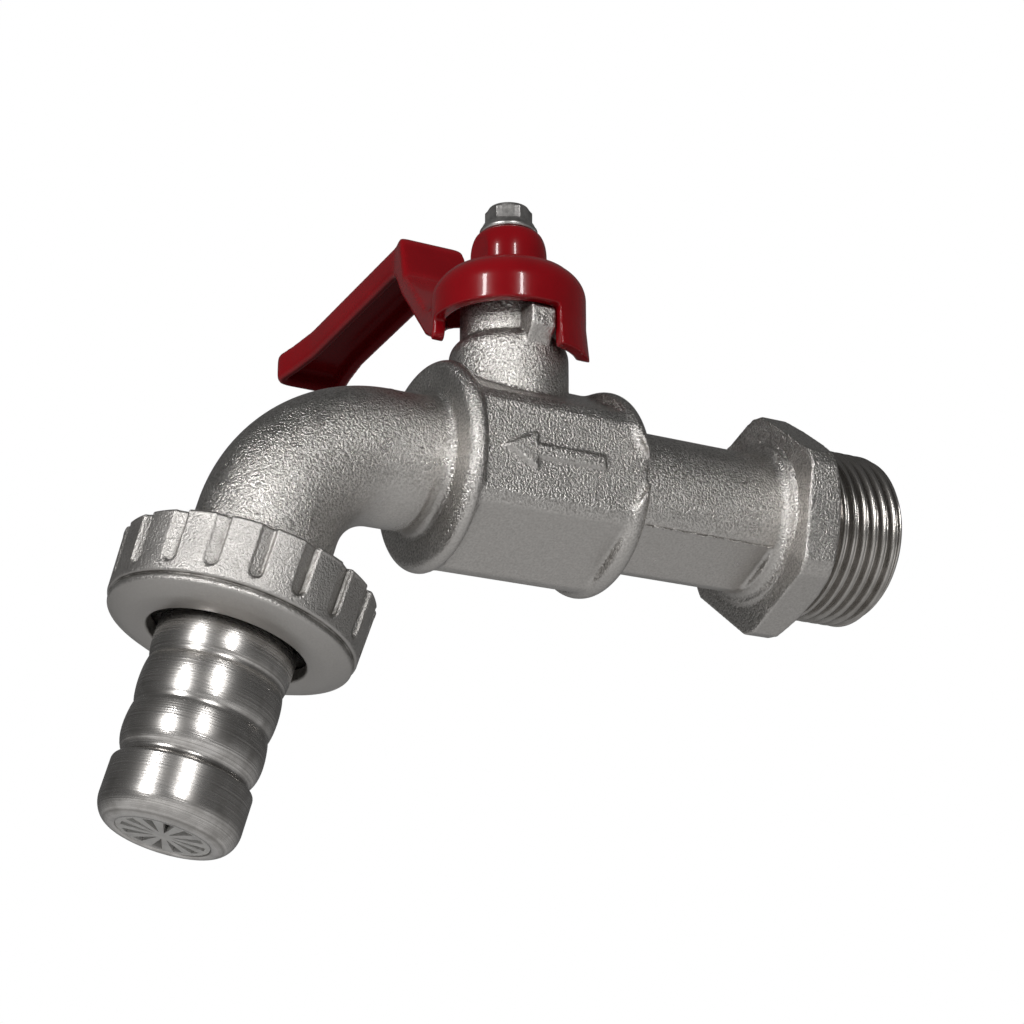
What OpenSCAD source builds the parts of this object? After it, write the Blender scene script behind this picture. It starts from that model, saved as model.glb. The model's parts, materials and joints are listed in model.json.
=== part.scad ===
// Ball outlet tap: a quarter-turn garden tap with a screwed inlet, a bent spout and a hose union.
// Millimetres. The origin is the middle of the inlet thread, where it starts at the hexagon.
// +X runs out of the inlet, +Z runs up the stem. The lever is drawn shut, across the body.

/* [Inlet connector] */
// Distance from the ball's centre to the end of the inlet thread
inlet_reach = 61; // [58:0.5:70]
// Outer radius of the inlet thread (G 3/4)
inlet_thread_r = 13.22; // [12.8:0.01:14]
// Length of the inlet thread in front of the hexagon
inlet_thread_length = 13.4; // [11:0.1:15]
// Width of the chamfer at the thread's end
inlet_thread_chamfer = 1.0; // [0.4:0.1:1.4]
// Width across the flats of the inlet hexagon
hex_across_flats = 30; // [28.4:0.1:32]
// Forging draft of the hexagon's back face, in degrees
hex_draft = 3; // [0:0.5:9]
// Turn of the connector's parting line about the inlet axis
parting_turn = 36; // [0:1:60]
// Length of the inlet hexagon
hex_length = 6.2; // [5:0.1:9]
// How far the corners of the hexagon are turned down from sharp
hex_corner_cut = 0.7; // [0.3:0.1:1.2]
// Turn of the hexagon about the inlet axis, as it was screwed home
hex_turn = 7; // [0:1:29]
// Outer radius of the connector's pipe
pipe_r = 10.5; // [9.8:0.1:11.5]
// Distance from the axis to the trimmed facet under the pipe
pipe_facet = 9.3; // [9:0.1:10]
// Bore of the waterway
waterway_r = 6.5; // [5.5:0.1:7]

/* [Chamber] */
// Radius of the two end rings of the chamber
chamber_r = 15.2; // [15:0.1:16.5]
// Radius of the chamber's edges between the rings
chamber_middle_r = 14.8; // [14.2:0.1:14.9]
// Distance from the axis to the six flats of the chamber
chamber_flat = 13.3; // [13.2:0.1:13.9]
// Distance from the ball's centre to the inlet end of the chamber
chamber_right = 15.3; // [15:0.1:17]
// Distance from the ball's centre to the spout end of the chamber
chamber_left = 13.9; // [13.6:0.1:16]
// Width of the ring at the inlet end of the chamber
ring_width = 2.0; // [1:0.1:3]
// Rounding of that ring's outer edge
ring_round = 1.6; // [0.8:0.1:2]
// Radius of the rounded shoulder at the spout end
shoulder_round = 1.6; // [1.2:0.1:2.4]
// Radius of the hollow fillet between the spout and the chamber
spout_fillet = 1.0; // [0.6:0.1:2.4]
// Radius of the round cavity that holds the ball
cavity_r = 12.1; // [12:0.05:12.4]

/* [Flow arrow on the front flat] */
// Length of the arrow, tip to tail
arrow_length = 16; // [8:0.5:19]
// Width of the arrow's shaft
arrow_width = 1.8; // [1:0.1:2.5]
// Width of the arrow's head
arrow_head = 5; // [3:0.1:7]
// Height of the arrow over the flat
arrow_height = 0.5; // [0.2:0.05:0.6]

/* [Neck] */
// Radius of the collar under the neck
collar_r = 8.7; // [8.5:0.1:9]
// Height of the collar's top edge over the inlet axis
collar_top = 18.0; // [17.2:0.1:18.4]
// Radius of the neck
neck_r = 7.1; // [6.8:0.1:7.6]
// Height of the neck's top over the inlet axis
neck_top = 28.8; // [27.5:0.1:28.9]
// Bore of the neck, in which the stem turns
neck_bore_r = 4.6; // [4.3:0.05:4.8]
// Width of the stop boss on the neck's front
stop_width = 3.9; // [3:0.1:5]
// Reach of the stop boss from the stem axis
stop_reach = 10.4; // [9.8:0.1:10.6]
// Height of the top of the stop boss
stop_top = 23.3; // [22.6:0.1:23.4]
// Height of the outer lower edge of the stop boss
stop_bottom = 20.3; // [19.5:0.1:21]

/* [Spout] */
// Outer radius of the spout
spout_r = 9.8; // [9.4:0.1:10.4]
// Distance from the ball's centre to the corner of the spout's centre line
spout_corner = 33.5; // [33:0.1:38]
// Radius of the spout's bend at its centre line
bend_r = 17; // [14:0.5:19]
// Tilt of the outlet from straight down
outlet_tilt = 16.6; // [10:0.1:22]
// Distance along the outlet from the corner to the end of the outlet thread
outlet_end = 26.0; // [25:0.1:30]
// Length of the outlet thread
outlet_thread_length = 7.4; // [6:0.1:9]
// Outer radius of the outlet thread (G 3/4)
outlet_thread_r = 13.22; // [12.8:0.01:14]

/* [Ball and seats] */
// Radius of the ball
ball_r = 11.5; // [11.2:0.05:11.55]
// Length of the slot in the ball's top, which the stem's tang enters
slot_length = 10.2; // [9.4:0.1:10.6]
// Width of the slot in the ball's top
slot_width = 4.6; // [4:0.1:5.4]
// Height of the slot's floor over the ball's centre
slot_floor = 8.2; // [7.6:0.1:8.6]
// Outer radius of the seat rings
seat_r = 10.5; // [10.2:0.05:10.7]
// Distance from the ball's centre to the back of a seat ring
seat_back = 11.4; // [11:0.05:11.6]
// Distance from the ball's centre to the front of a seat ring
seat_front = 6.8; // [6.2:0.05:7.4]

/* [Stem] */
// Radius of the stem's collar, which keeps the stem from blowing out
stem_collar_r = 5.6; // [5.3:0.05:6]
// Height of the collar's lower face
stem_collar_bottom = 11.9; // [11.7:0.05:12.1]
// Thickness of the collar
stem_collar_height = 2.1; // [1.6:0.1:2.6]
// Thickness of the thrust washer over the collar
thrust_washer_height = 1.0; // [0.6:0.1:1.4]
// Radius of the stem's round head end, which the lever fits over
stem_head_r = 3.9; // [3.6:0.05:4.1]
// Distance from the axis to the two flats of the head end
stem_head_flat = 2.9; // [2.7:0.05:3.2]
// Height of the shoulder that carries the lever
stem_shoulder = 29.2; // [29.1:0.05:29.8]
// Height of the stem's top
stem_top = 37.5; // [36.5:0.1:37.5]
// Heights of the two O-ring grooves, at their middles
o_ring_heights = [18.4, 22.6];
// Radius of an O-ring's own section
o_ring_section = 0.75; // [0.6:0.05:0.8]
// Depth of an O-ring groove
groove_depth = 1.45; // [1.4:0.05:1.6]

/* [Lever head] */
// Outer radius of the lever's skirt
skirt_r = 11.3; // [11:0.1:11.6]
// Thickness of the lever's walls
lever_wall = 1.9; // [1.5:0.1:2]
// Height of the skirt's lower edge
skirt_bottom = 23.7; // [23.6:0.1:24.4]
// Height of the dome's top
dome_top = 32.0; // [31.6:0.1:34]
// Height at which the dome turns into the straight skirt
dome_spring = 27.4; // [26:0.1:28]
// Radius at which the dome turns into its flat top
dome_flat_r = 5.8; // [3.6:0.1:6.5]
// Radius of the hub round the stem
hub_r = 6.0; // [5.6:0.1:6.4]
// Distance from the axis to the hub's two side flats
hub_flat = 4.9; // [4.6:0.1:5.6]
// Height of the hub's top
hub_top = 38.0; // [37.6:0.1:40]
// Lowest height of the stop lug on the inlet side
long_lug_bottom = 17.5; // [16:0.1:19]
// Where the stop lug on the inlet side ends, as an angle round from the inlet axis
long_lug_end = 30; // [0:1:45]
// Lowest height of the stop lug on the spout side
short_lug_bottom = 20.6; // [19.8:0.1:21]
// How far the lugs flare out at their feet
lug_flare = 0.6; // [0:0.1:0.8]

/* [Lever arm] */
// Distance from the stem to the ridge at which the arm starts
ridge_y = 24; // [22:0.5:28]
// Height of the ridge
ridge_z = 46.6; // [44:0.1:48]
// Distance from the stem to the tip of the arm
tip_y = 70.2; // [62:0.2:76]
// Height of the arm's top at the tip
tip_z = 41.4; // [40:0.1:45]
// Half of the arm's width
arm_half = 4.9; // [4.4:0.1:6]
// Half of the tip's width
tip_half = 6.3; // [6:0.1:7.5]
// Distance over which the arm widens to the tip
tip_flare = 12; // [9:0.5:16]
// Rounding of the tip's corners
tip_round = 2.3; // [2:0.1:3]
// Depth of the arm's channel section
arm_depth = 4.8; // [4:0.1:6]
// Slope of the riser between the head and the ridge
riser_slope = 40.3; // [38:0.1:42]
// Height at which the riser starts, on the head's back corner
riser_start_z = 22.7; // [22:0.1:23.4]
// Depth of the riser's edge walls, across its slope
riser_depth = 3.5; // [3:0.1:4.5]

/* [Lever screw] */
// Radius of the screw's flange
screw_flange_r = 4.3; // [4.2:0.1:5]
// Thickness of the screw's flange
screw_flange_height = 1.6; // [0.8:0.1:1.8]
// Width across the flats of the screw's hexagon
screw_across_flats = 6.8; // [6.5:0.1:7]
// Height of the hexagon
screw_head_height = 2.7; // [2.4:0.1:4]
// Radius of the screw's shank
screw_r = 2.0; // [1.8:0.05:2.1]
// Length of the screw's shank
screw_length = 8; // [6:0.5:9]

/* [Union nut] */
// Outer radius of the nut at its open end
nut_r = 17.5; // [17:0.1:18.5]
// Outer radius of the nut where the grip ends
nut_grip_r = 17.1; // [16.8:0.1:17.3]
// Radius of the nut's lower lip
nut_lip_r = 17.0; // [16.6:0.1:17.1]
// Height of the nut
nut_height = 11.1; // [11:0.1:13]
// Height of the grip with its slots
nut_grip_height = 8.5; // [7.5:0.1:8.8]
// Thickness of the nut's floor
nut_floor = 1.95; // [1.6:0.05:2.4]
// Radius of the hole in the nut's floor
nut_hole_r = 10.9; // [10.4:0.05:11.2]
// Number of grip slots
slot_count = 18; // [12:1:22]
// Width of a grip slot
grip_slot_width = 2.1; // [1.4:0.1:2.6]
// Depth of a grip slot
grip_slot_depth = 0.75; // [0.4:0.05:1.1]
// Length of a grip slot
grip_slot_length = 7.2; // [5:0.1:7.6]

/* [Hose tail] */
// Radius of the tail's flange
tail_flange_r = 11.95; // [11.6:0.05:12.1]
// Thickness of the tail's flange
tail_flange_height = 1.6; // [1.2:0.1:1.8]
// Radius of the tail's crests
tail_crest_r = 9.45; // [9.2:0.05:9.6]
// Radius of the tail's two shallow grooves
tail_groove_r = 8.95; // [8.7:0.05:9.1]
// Radius of the deep groove over the last barb
tail_deep_groove_r = 8.4; // [8.2:0.05:8.6]
// Distance from the flange to the first groove, and from groove to groove
tail_groove_pitch = 6.5; // [6:0.1:6.7]
// Length of the last barb
tail_barb_length = 9.5; // [9:0.1:11]
// Bore of the tail
tail_bore_r = 6.0; // [5.4:0.1:6.2]
// Radius of the recess in the tail's mouth
tail_mouth_r = 6.7; // [6.5:0.05:6.9]
// Depth of the recess in the tail's mouth
tail_mouth_depth = 2.6; // [2:0.1:3]

/* [Jet straightener] */
// Number of vanes
vane_count = 12; // [8:1:14]
// Width of a vane at its outer end
vane_width = 1.5; // [1:0.1:1.6]
// Radius of the straightener's middle
vane_hub_r = 1.3; // [1.1:0.1:1.8]
// Thickness of the straightener's rim
vane_rim = 0.7; // [0.6:0.1:1]

/* [Seals and clearances] */
// Thickness of the hose tail's gasket
gasket_height = 1.5; // [1:0.1:1.8]
// Section radius of the connector's O-ring
body_o_ring_section = 0.85; // [0.7:0.05:0.95]
// Gap between flat faces that part when the union opens
union_gap = 0.15; // [0.1:0.05:0.25]
// Running gap between a turning piece and its bore
running_gap = 0.1; // [0.05:0.01:0.1]
// Gap between the male and female threads, which are drawn plain
thread_gap = 0.08; // [0.05:0.01:0.1]
// Gap between a stop and the lug that comes up to it
stop_gap = 0.3; // [0.2:0.05:0.4]

/* [Hidden] */
$fn = 96;
// A little extra, so that a cut passes right through
e = 0.5;
// How far the straight lengths of the spout reach into its bend, and how much narrower they are
seam_overlap = 0.3;
seam_step = 0.08;
// Turn of the spout's bend
bend_turn = 90 - outlet_tilt;
// Length of straight spout that the bend takes up on each side of the corner
bend_set = bend_r * tan(bend_turn / 2);
// Radius of the connector's nose, screwed into the chamber
nose_r = cavity_r - running_gap;
// Groove for the connector's O-ring
body_groove_r = nose_r - 2 * body_o_ring_section + 0.05;
body_groove_x = chamber_right - 2.2;
// Radius of the pocket round each seat ring
pocket_r = seat_r + running_gap;
// Where the flats of the chamber start, past the spout-end ring
flats_start = shoulder_round + 1.0 - chamber_left;
flats_end = chamber_right - ring_width - 1.2;
// Where the hexagon starts and ends, from the ball's centre
hex_front = inlet_reach - inlet_thread_length;
hex_back = hex_front - hex_length;
// Fillet between the connector's pipe and its hexagon
hex_fillet = 1.6;
hex_corner_r = hex_across_flats / sqrt(3) - hex_corner_cut;
// Stem radii that follow the bore of the neck
stem_r = neck_bore_r - running_gap;
o_ring_r = neck_bore_r - 0.05 - o_ring_section;
washer_top = stem_collar_bottom + stem_collar_height + thrust_washer_height;
counterbore_r = stem_collar_r + 2 * running_gap;
// Lever screw
screw_hole_r = screw_r + 0.05;
// Lever
skirt_inner_r = skirt_r - lever_wall;
hub_foot_r = hub_r + 0.4;
stop_face = stop_width / 2 + stop_gap;
lug_end_y = skirt_r * sin(long_lug_end);
wall_start_y = 2.6;
wall_start_x = sqrt(skirt_r * skirt_r - wall_start_y * wall_start_y);
arm_start_y = ridge_y + 3.5;
riser_knee_y = ridge_y - 2.5;
riser_knee_z = riser_start_z + (riser_knee_y - wall_start_y) * tan(riser_slope);
// Outlet stations, measured from the spout's corner
gasket_s = outlet_end + union_gap;
flange_s = gasket_s + gasket_height + union_gap;
floor_s = flange_s + tail_flange_height + union_gap;
nut_end = floor_s + nut_floor;
nut_start = nut_end - nut_height;
nut_bore_r = outlet_thread_r + thread_gap;
shank_r = tail_groove_r + 0.4;
groove_one = flange_s + tail_flange_height + tail_groove_pitch;
groove_two = groove_one + tail_groove_pitch;
groove_three = groove_two + tail_groove_pitch;
tail_end = groove_three + tail_barb_length;

// Points on a circular or oval arc, for outlines
function arc(x, y, rx, ry, from, to, steps) =
    [for (i = [0:steps]) let (a = from + (to - from) * i / steps) [x + rx * cos(a), y + ry * sin(a)]];

// Moves a piece from ball-centred places to the start of the inlet thread
module from_ball() {
    translate([-hex_front, 0, 0])
        children();
}

// Turns a piece so that its Z axis runs along X, starting x from the ball's centre
module along_x(x) {
    translate([x, 0, 0])
        rotate([0, 90, 0])
            children();
}

// Turns a piece so that its Z axis runs out along the outlet from the spout's corner
module along_outlet(s = 0) {
    translate([-spout_corner, 0, 0])
        rotate([0, 180 + outlet_tilt, 0])
            translate([0, 0, s])
                children();
}

// A sector of a round pipe that follows the spout's bend
module bend(r) {
    reach = 2 * bend_r;
    translate([bend_set - spout_corner, 0, -bend_r])
        rotate([90, 0, 0])
            intersection() {
                rotate_extrude()
                    translate([bend_r, 0])
                        circle(r);
                translate([0, 0, -bend_r])
                    linear_extrude(2 * bend_r)
                        polygon([[0, 0], [0, reach], [-reach * tan(bend_turn / 2), reach],
                            [-reach * sin(bend_turn), reach * cos(bend_turn)]]);
            }
}

// The spout's run, bend and leg; the straight lengths are a hair narrower, and the leg ends at station s
module spout_pipe(r, s) {
    along_x(bend_set - spout_corner - seam_overlap)
        cylinder(h = spout_corner - bend_set + seam_overlap, r = r - seam_step);
    bend(r);
    along_outlet(bend_set - seam_overlap)
        cylinder(h = s - bend_set + seam_overlap, r = r - seam_step);
}

// An outline in Y and Z, extruded from x = from to x = to
module side_extrude(from, to) {
    translate([from, 0, 0])
        rotate([90, 0, 90])
            linear_extrude(to - from)
                children();
}

// Chamber with end rings, six flats and the rounded shoulder on the spout side
module chamber() {
    along_x(0)
        rotate_extrude()
            polygon(concat(
                [[0, -chamber_left - spout_fillet]],
                arc(spout_r + spout_fillet, -chamber_left - spout_fillet, spout_fillet, spout_fillet, 180, 90, 8),
                arc(chamber_r - shoulder_round, shoulder_round - chamber_left,
                    shoulder_round, shoulder_round, -90, 0, 8),
                [[chamber_r, flats_start - 0.7], [chamber_middle_r, flats_start - 0.25],
                    [chamber_middle_r, flats_end + 0.2], [chamber_r, chamber_right - ring_width]],
                arc(chamber_r - ring_round, chamber_right - ring_round, ring_round, ring_round, 0, 90, 6),
                [[0, chamber_right]]));
}

// What the six flats take off the chamber, between its rings
module chamber_flats() {
    flat_length = flats_end - flats_start;
    for (turn = [60:60:300])
        rotate([turn, 0, 0])
            translate([flats_start, -chamber_r - e, -chamber_r])
                cube([flat_length, chamber_r + e - chamber_flat, 2 * chamber_r]);
}

// What the front flat takes off: an outline that narrows to a blunt point at the inlet end
module front_flat() {
    half = sqrt(chamber_r * chamber_r - chamber_flat * chamber_flat) + 0.2;
    translate([0, -chamber_flat, 0])
        rotate([90, 0, 0])
            linear_extrude(chamber_r)
                polygon([[flats_start, -half], [chamber_right - 3.6, -half],
                    [chamber_right + e, -0.8], [chamber_right + e, 0.8],
                    [chamber_right - 3.6, half], [flats_start, half]]);
}

// Plain raised arrow on the front flat, which points the way the water flows
module flow_arrow() {
    translate([0, -chamber_flat + e, 0])
        rotate([90, 0, 0])
            linear_extrude(arrow_height + e)
                polygon([[-arrow_length / 2, 0], [arrow_head - arrow_length / 2, -arrow_head / 2],
                    [arrow_head - arrow_length / 2, -arrow_width / 2], [arrow_length / 2, -arrow_width / 2],
                    [arrow_length / 2, arrow_width / 2], [arrow_head - arrow_length / 2, arrow_width / 2],
                    [arrow_head - arrow_length / 2, arrow_head / 2]]);
}

module neck() {
    shoulder = (collar_r - neck_r) * 1.75;
    top_angle = acos((neck_r - collar_r + shoulder) / shoulder);
    rotate_extrude()
        polygon(concat(
            [[0, 0], [collar_r, 0]],
            arc(collar_r - shoulder, collar_top, shoulder, shoulder, 0, top_angle, 8),
            [[neck_r, neck_top - 0.5], [neck_r - 0.5, neck_top], [0, neck_top]]));
}

// Boss on the neck that stops the lever, open and shut
module stop_boss() {
    side_extrude(-stop_width / 2, stop_width / 2)
        polygon([[-neck_r + 1, stop_top], [-stop_reach + 0.3, stop_top], [-stop_reach, stop_top - 0.3],
            [-stop_reach, stop_bottom], [-collar_r + 0.4, collar_top - 0.4], [-neck_r + 1, collar_top - 0.4]]);
}

// Forged body: chamber, neck and spout in one piece
module body() {
    color("silver")
        from_ball()
            difference() {
                union() {
                    difference() {
                        chamber();
                        chamber_flats();
                        front_flat();
                    }
                    flow_arrow();
                    spout_pipe(spout_r, outlet_end - outlet_thread_length + e);
                    along_outlet(outlet_end - outlet_thread_length)
                        cylinder(h = outlet_thread_length, r = outlet_thread_r);
                    neck();
                    stop_boss();
                }
                // Waterway and cavity
                spout_pipe(waterway_r, outlet_end + e);
                along_x(-chamber_left - spout_fillet)
                    cylinder(h = chamber_left + spout_fillet, r = waterway_r);
                along_x(-seat_back)
                    cylinder(h = seat_back, r = pocket_r);
                along_x(-seat_front)
                    cylinder(h = seat_front + chamber_right + e, r = cavity_r);
                // Stem bore and its counterbore
                cylinder(h = neck_top + e, r = neck_bore_r);
                cylinder(h = washer_top, r = counterbore_r);
            }
}

// Forged hexagon: blunt corners, a chamfer at the thread and a back face drafted from the parting line
module hexagon() {
    difference() {
        intersection() {
            along_x(hex_back)
                rotate([0, 0, hex_turn])
                    cylinder(h = hex_length, r = hex_across_flats / sqrt(3), $fn = 6);
            along_x(0)
                rotate_extrude()
                    polygon([[0, hex_back - e], [hex_corner_r, hex_back - e], [hex_corner_r, hex_front - 0.9],
                        [hex_across_flats / 2 - 0.3, hex_front + 0.1], [0, hex_front + 0.1]]);
        }
        for (side = [-1, 1])
            rotate([parting_turn, 0, 0])
                translate([hex_back, 0, 0])
                    rotate([0, side * hex_draft, 0])
                        translate([-hex_length, -hex_across_flats, -hex_across_flats])
                            cube([hex_length, 2 * hex_across_flats, 2 * hex_across_flats]);
    }
}

// Pipe, hexagon and inlet thread, screwed into the chamber behind the ball
module inlet_connector() {
    color("silver")
        from_ball()
            difference() {
                union() {
                    along_x(seat_front)
                        cylinder(h = chamber_right - seat_front, r = nose_r);
                    difference() {
                        along_x(chamber_right - e)
                            cylinder(h = hex_back - chamber_right + 2 * e, r = pipe_r);
                        rotate([parting_turn + 27, 0, 0])
                            translate([chamber_right - 2 * e, -pipe_r - e, -pipe_r])
                                cube([hex_back - hex_fillet - chamber_right + 2 * e + 0.3, pipe_r + e - pipe_facet,
                                    2 * pipe_r]);
                    }
                    hexagon();
                    along_x(0)
                        rotate_extrude()
                            polygon(concat(
                                [[0, hex_back - hex_fillet]],
                                arc(pipe_r + hex_fillet, hex_back - hex_fillet, hex_fillet, hex_fillet, 180, 90, 6),
                                [[pipe_r + hex_fillet, hex_front - 1], [0, hex_front - 1]]));
                    along_x(hex_front)
                        rotate_extrude()
                            polygon([[0, -e], [inlet_thread_r, -e],
                                [inlet_thread_r, inlet_thread_length - inlet_thread_chamfer],
                                [inlet_thread_r - inlet_thread_chamfer, inlet_thread_length],
                                [0, inlet_thread_length]]);
                }
                along_x(0)
                    cylinder(h = inlet_reach + e, r = waterway_r);
                along_x(0)
                    cylinder(h = seat_back, r = pocket_r);
                // Groove for the O-ring
                along_x(body_groove_x - body_o_ring_section - 0.1)
                    difference() {
                        cylinder(h = 2 * body_o_ring_section + 0.2, r = nose_r + e);
                        translate([0, 0, -e])
                            cylinder(h = 2 * body_o_ring_section + 2 * e + 0.2, r = body_groove_r);
                    }
            }
}

module connector_o_ring() {
    color("dimgray")
        from_ball()
            along_x(body_groove_x)
                rotate_extrude()
                    translate([body_groove_r + body_o_ring_section + 0.02, 0])
                        circle(body_o_ring_section);
}

// Ball, shut: its bore lies across the body and its slot runs along it
module ball() {
    color("gainsboro")
        from_ball()
            difference() {
                sphere(ball_r);
                rotate([90, 0, 0])
                    translate([0, 0, -ball_r - e])
                        cylinder(h = 2 * ball_r + 2 * e, r = waterway_r);
                translate([-slot_length / 2, -slot_width / 2, slot_floor])
                    cube([slot_length, slot_width, ball_r]);
            }
}

// A seat ring whose bore follows the ball
module seat() {
    difference() {
        along_x(seat_front)
            cylinder(h = seat_back - seat_front, r = seat_r);
        along_x(0)
            cylinder(h = seat_back + e, r = waterway_r);
        sphere(ball_r + running_gap);
    }
}

module seat_inlet() {
    color("white")
        from_ball()
            seat();
}

module seat_outlet() {
    color("white")
        from_ball()
            mirror([1, 0, 0])
                seat();
}

// Stem: tang, anti-blow-out collar, sealed shaft and a head with two flats
module stem() {
    color("darkgray")
        from_ball()
            difference() {
                union() {
                    intersection() {
                        translate([-slot_length / 2, -slot_width / 2 + running_gap, slot_floor + 0.15])
                            cube([slot_length, slot_width - 2 * running_gap, stem_collar_bottom - slot_floor]);
                        cylinder(h = stem_collar_bottom + e, r = slot_length / 2 - 2 * running_gap);
                    }
                    translate([0, 0, stem_collar_bottom])
                        cylinder(h = stem_collar_height, r = stem_collar_r);
                    translate([0, 0, stem_collar_bottom])
                        cylinder(h = stem_shoulder - stem_collar_bottom, r = stem_r);
                    intersection() {
                        cylinder(h = stem_top, r = stem_head_r);
                        translate([-stem_head_flat, -stem_head_r, stem_shoulder - e])
                            cube([2 * stem_head_flat, 2 * stem_head_r, stem_top]);
                    }
                }
                for (z = o_ring_heights)
                    translate([0, 0, z - o_ring_section - 0.1])
                        difference() {
                            cylinder(h = 2 * o_ring_section + 0.2, r = stem_r + e);
                            cylinder(h = 2 * o_ring_section + 0.2, r = stem_r - groove_depth);
                        }
                translate([0, 0, hub_top - screw_length - 1])
                    cylinder(h = screw_length + e, r = screw_hole_r);
            }
}

module stem_thrust_washer() {
    color("white")
        from_ball()
            translate([0, 0, stem_collar_bottom + stem_collar_height + 0.05])
                difference() {
                    cylinder(h = thrust_washer_height - 0.1, r = stem_collar_r);
                    translate([0, 0, -e])
                        cylinder(h = thrust_washer_height + 2 * e, r = neck_bore_r);
                }
}

module stem_o_ring(z) {
    color("dimgray")
        from_ball()
            translate([0, 0, z])
                rotate_extrude()
                    translate([o_ring_r, 0])
                        circle(o_ring_section);
}

module stem_o_ring_lower() {
    stem_o_ring(o_ring_heights[0]);
}

module stem_o_ring_upper() {
    stem_o_ring(o_ring_heights[1]);
}

// Outline of the dome and skirt, inset by t; the lugs below flare out
module dome_outline(t) {
    polygon(concat(
        [[0, long_lug_bottom - 1], [skirt_r - t + lug_flare, long_lug_bottom - 1],
            [skirt_r - t, skirt_bottom - 1]],
        arc(dome_flat_r, dome_spring, skirt_r - t - dome_flat_r, dome_top - t - dome_spring, 0, 90, 12),
        [[0, dome_top - t]]));
}

// Plan of the lever's riser and arm, inset by t from the outside
function arm_half_plan(t) = concat(
    [[wall_start_x - t, wall_start_y], [arm_half - t, arm_start_y], [arm_half - t, tip_y - tip_flare],
        [(arm_half + tip_half) / 2 - t, tip_y - tip_flare / 2]],
    arc(tip_half - tip_round, tip_y - tip_round, tip_round - min(t, tip_round - 0.2),
        tip_round - min(t, tip_round - 0.2), 0, 90, 6));

module arm_plan(t) {
    right = arm_half_plan(t);
    polygon(concat(right, [for (i = [len(right) - 1:-1:0]) [-right[i][0], right[i][1]]]));
}

// Top line of the riser and arm in Y and Z, lowered by t across its slope
function arm_line(t) = let (s = sin(riser_slope) * t, c = cos(riser_slope) * t) [
    [wall_start_y + s, riser_start_z - c],
    [riser_knee_y + s, riser_knee_z - c],
    [ridge_y - 0.4 + t, ridge_z - 2.2 - t / 2],
    [ridge_y + 0.1 + t, ridge_z - 0.7 - t],
    [ridge_y + 1.2 + t, ridge_z - t],
    [arm_start_y, ridge_z - 0.3 - t],
    [tip_y + 1, tip_z - t]];

// Riser and arm: everything between the top line and the lower edge
module riser_and_arm() {
    lower = arm_line(riser_depth);
    intersection() {
        translate([0, 0, long_lug_bottom])
            linear_extrude(ridge_z)
                arm_plan(0);
        side_extrude(-skirt_r, skirt_r)
            polygon(concat(
                arm_line(0),
                [[tip_y + 1, tip_z - arm_depth], [arm_start_y + 1, ridge_z - 0.4 - arm_depth],
                    [lower[1][0], lower[1][1]], [8.6, 23.4], [4.4, short_lug_bottom + 0.9],
                    [3.2, short_lug_bottom], [wall_start_y, short_lug_bottom]]));
    }
}

// The channel under the riser and arm
module arm_channel() {
    intersection() {
        translate([0, 0, long_lug_bottom - e])
            linear_extrude(ridge_z)
                arm_plan(lever_wall);
        side_extrude(-skirt_r, skirt_r)
            polygon(concat(
                arm_line(lever_wall),
                [[tip_y + 1, long_lug_bottom - 2 * e], [wall_start_y + 1, long_lug_bottom - 2 * e]]));
    }
}

// What is cut away under the skirt to leave the two stop lugs
module under_skirt() {
    // Spout side: the lug's stop edge faces forward
    side_extrude(-skirt_r - 1, stop_face)
        polygon([[-skirt_r - 1, 0], [skirt_r + 4, 0], [skirt_r + 4, 25.6], [8.6, 23.4],
            [4.4, short_lug_bottom + 0.9], [3.2, short_lug_bottom], [stop_face + 0.3, short_lug_bottom + 0.2],
            [stop_face, short_lug_bottom + 0.8], [stop_face, skirt_bottom - 0.3], [stop_face - 0.3, skirt_bottom],
            [-skirt_r - 1, skirt_bottom]]);
    // Inlet side: the lug's stop edge faces the spout
    side_extrude(stop_face - 0.01, skirt_r + 1)
        polygon([[-skirt_r - 1, 0], [skirt_r + 4, 0], [skirt_r + 4, 25.6], [8.6, skirt_bottom],
            [-lug_end_y + 1.2, skirt_bottom], [-lug_end_y, skirt_bottom - 1.2],
            [-lug_end_y, long_lug_bottom + 1], [-lug_end_y - 1, long_lug_bottom],
            [-skirt_r - 1, long_lug_bottom]]);
}

// Hub on the dome, with side flats and a chamfer towards the arm
module hub() {
    difference() {
        intersection() {
            rotate_extrude()
                polygon(concat(
                    [[0, stem_shoulder], [hub_foot_r, stem_shoulder], [hub_foot_r, dome_top - lever_wall],
                        [hub_r, dome_top - lever_wall]],
                    arc(hub_r - 1.6, hub_top - 2, 1.6, 2, 0, 90, 6),
                    [[0, hub_top]]));
            union() {
                translate([-hub_flat, -hub_r, 0])
                    cube([2 * hub_flat, 2 * hub_r, hub_top + e]);
                cylinder(h = dome_top - lever_wall, r = hub_foot_r);
            }
        }
        for (side = [-1, 1])
            translate([side * hub_flat, 1.9, hub_top - 3.3])
                rotate([35, 0, side * 30])
                    translate([-hub_r, 0, 0])
                        cube([2 * hub_r, 2 * hub_r, hub_r]);
    }
}

module lever() {
    color("firebrick")
        from_ball()
            difference() {
                union() {
                    difference() {
                        union() {
                            rotate_extrude()
                                dome_outline(0);
                            riser_and_arm();
                        }
                        rotate_extrude()
                            dome_outline(lever_wall);
                        arm_channel();
                        under_skirt();
                    }
                    hub();
                }
                // Hole with two flats for the stem's head, and the screw's way through
                intersection() {
                    cylinder(h = hub_top + e, r = stem_head_r + 0.05);
                    translate([-stem_head_flat - 0.05, -hub_r, 0])
                        cube([2 * stem_head_flat + 0.1, 2 * hub_r, hub_top + e]);
                }
            }
}

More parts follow.
